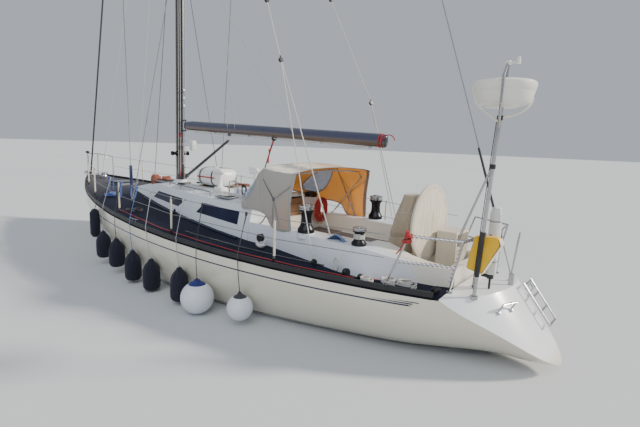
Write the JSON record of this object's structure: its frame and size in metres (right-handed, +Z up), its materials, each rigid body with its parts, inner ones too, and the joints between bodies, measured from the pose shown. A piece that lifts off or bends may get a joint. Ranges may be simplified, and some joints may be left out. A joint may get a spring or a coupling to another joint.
{
  "type": "sailing yacht",
  "caption": "Masthead-rigged cruising sailing yacht with reversed transom, fin keel, spade rudder, teak deck, spray hood, radar pole and swinging boom.",
  "frame": {"origin": "on the waterline and the centreline, below the after edge of the teak deck", "axes": "+X to the bow, +Y to port, +Z up"},
  "size_m": [13.478, 4.0641, 23.43],
  "materials": {
    "gelcoat": "glossy ivory gelcoat with a navy stripe",
    "antifouling": "matt dark antifouling",
    "teak_deck": "weathered teak strips with pale seams",
    "deck_white": "white gelcoat with fine grip",
    "cockpit_white": "warm white gelcoat",
    "window_glass": "tinted acrylic",
    "hatch_glass": "smoked acrylic",
    "steel": "polished stainless tube",
    "black_rail": "black toe rail",
    "carbon": "black clear coated spar",
    "boom_paint": "navy paint, brown below",
    "aluminium": "anodised",
    "winch_black": "black drum, bright top",
    "canvas": "beige acrylic canvas",
    "cover_cloth": "cream acrylic canvas",
    "teak": "greyed teak",
    "bronze": "dull bronze",
    "yellow_cloth": "yellow coated cloth",
    "fender_navy": "navy knitted cover",
    "fender_white": "white vinyl",
    "dome_white": "cream white shell"
  },
  "bodies": {
    "yacht": {"hull": "gelcoat", "keel": "antifouling", "saildrive_leg": "aluminium", "teak_deck": "teak_deck", "toe_rail_port": "black_rail", "toe_rail_starboard": "black_rail", "coachroof": "deck_white", "window_aft_port": "window_glass", "window_aft_starboard": "window_glass", "window_forward_port": "window_glass", "window_forward_starboard": "window_glass", "cockpit_moulding": "cockpit_white", "washboard": "teak", "fore_hatch_frame": "aluminium", "helm_box": "cockpit_white", "liferaft": "deck_white", "cowl_vent_port": "deck_white", "cowl_vent_starboard": "deck_white", "dodger_canopy": "canvas", "dodger_frame": "steel", "binnacle": "canvas", "mast": "carbon", "shrouds_port": "steel", "shrouds_starboard": "steel", "forestay": "steel", "babystay": "steel", "backstay": "steel", "lifelines_port": "steel", "lifelines_starboard": "steel", "pulpit": "steel", "pushpit_port": "steel", "pushpit_starboard": "steel", "radar_pole": "steel", "radar_dome": "dome_white", "rescue_bag": "yellow_cloth", "danbuoy": "canvas", "ensign_staff": "steel", "stemhead": "steel", "fender_1": "fender_navy", "fender_2": "fender_navy", "fender_3": "fender_navy", "fender_4": "fender_navy", "fender_5": "fender_navy", "fender_6": "fender_white", "fender_7": "fender_white"},
    "boom": {"boom": "boom_paint", "vang": "carbon"},
    "wheel": {"steering_wheel": "cover_cloth"},
    "rudder_blade": {"rudder": "antifouling"},
    "screw": {"propeller": "bronze"},
    "drum_primary_port": {"winch_primary_port": "winch_black"},
    "drum_primary_starboard": {"winch_primary_starboard": "winch_black"},
    "drum_secondary_port": {"winch_secondary_port": "winch_black"},
    "drum_secondary_starboard": {"winch_secondary_starboard": "winch_black"},
    "ladder": {"swim_ladder": "steel"},
    "slide": {"companion_slide": "deck_white"},
    "fore_hatch_lid": {"fore_hatch": "hatch_glass"},
    "locker_lid_port": {"locker_port": "teak"},
    "locker_lid_starboard": {"locker_starboard": "teak"}
  },
  "joints": [
    {"name": "boom_swing", "type": "hinge", "parent": "yacht", "child": "boom", "pos_m": [6.73, 0, 2.93], "axis": [0, 0, 1], "range_deg": [-75, 75]},
    {"name": "wheel_turn", "type": "hinge", "parent": "yacht", "child": "wheel", "pos_m": [0.65, 0, 1.6], "axis": [1, 0, 0], "range_deg": [-300, 300]},
    {"name": "rudder_turn", "type": "hinge", "parent": "yacht", "child": "rudder_blade", "pos_m": [0.56, 0, -0.15], "axis": [0, 0, 1], "range_deg": [-35, 35]},
    {"name": "propeller_spin", "type": "hinge", "parent": "yacht", "child": "screw", "pos_m": [1.94, 0, -0.76], "axis": [1, 0, 0], "continuous": true},
    {"name": "winch_primary_port_spin", "type": "hinge", "parent": "yacht", "child": "drum_primary_port", "pos_m": [1.15, 1, 1.35], "axis": [0, 0, 1], "continuous": true},
    {"name": "winch_primary_starboard_spin", "type": "hinge", "parent": "yacht", "child": "drum_primary_starboard", "pos_m": [1.15, -1, 1.35], "axis": [0, 0, 1], "continuous": true},
    {"name": "winch_secondary_port_spin", "type": "hinge", "parent": "yacht", "child": "drum_secondary_port", "pos_m": [2.15, 0.93, 1.35], "axis": [0, 0, 1], "continuous": true},
    {"name": "winch_secondary_starboard_spin", "type": "hinge", "parent": "yacht", "child": "drum_secondary_starboard", "pos_m": [2.15, -0.93, 1.35], "axis": [0, 0, 1], "continuous": true},
    {"name": "ladder_fold", "type": "hinge", "parent": "yacht", "child": "ladder", "pos_m": [-0.974, -0.26, 0.54], "axis": [0, -1, 0], "range_deg": [0, 190]},
    {"name": "companion_slide_run", "type": "slide", "parent": "yacht", "child": "slide", "axis": [1, 0, 0], "range_m": [0, 0.48]},
    {"name": "fore_hatch_open", "type": "hinge", "parent": "yacht", "child": "fore_hatch_lid", "pos_m": [10.132, 0, 1.3989], "axis": [0, 1, 0], "range_deg": [0, 95]},
    {"name": "locker_port_open", "type": "hinge", "parent": "yacht", "child": "locker_lid_port", "pos_m": [2.1, 0.682, 1.028], "axis": [-1, 0, 0], "range_deg": [0, 80]},
    {"name": "locker_starboard_open", "type": "hinge", "parent": "yacht", "child": "locker_lid_starboard", "pos_m": [2.1, -0.682, 1.028], "axis": [1, 0, 0], "range_deg": [0, 80]}
  ],
  "couplings": [
    {"joint": "rudder_turn", "follows": "wheel_turn", "ratio": 0.11667}
  ]
}
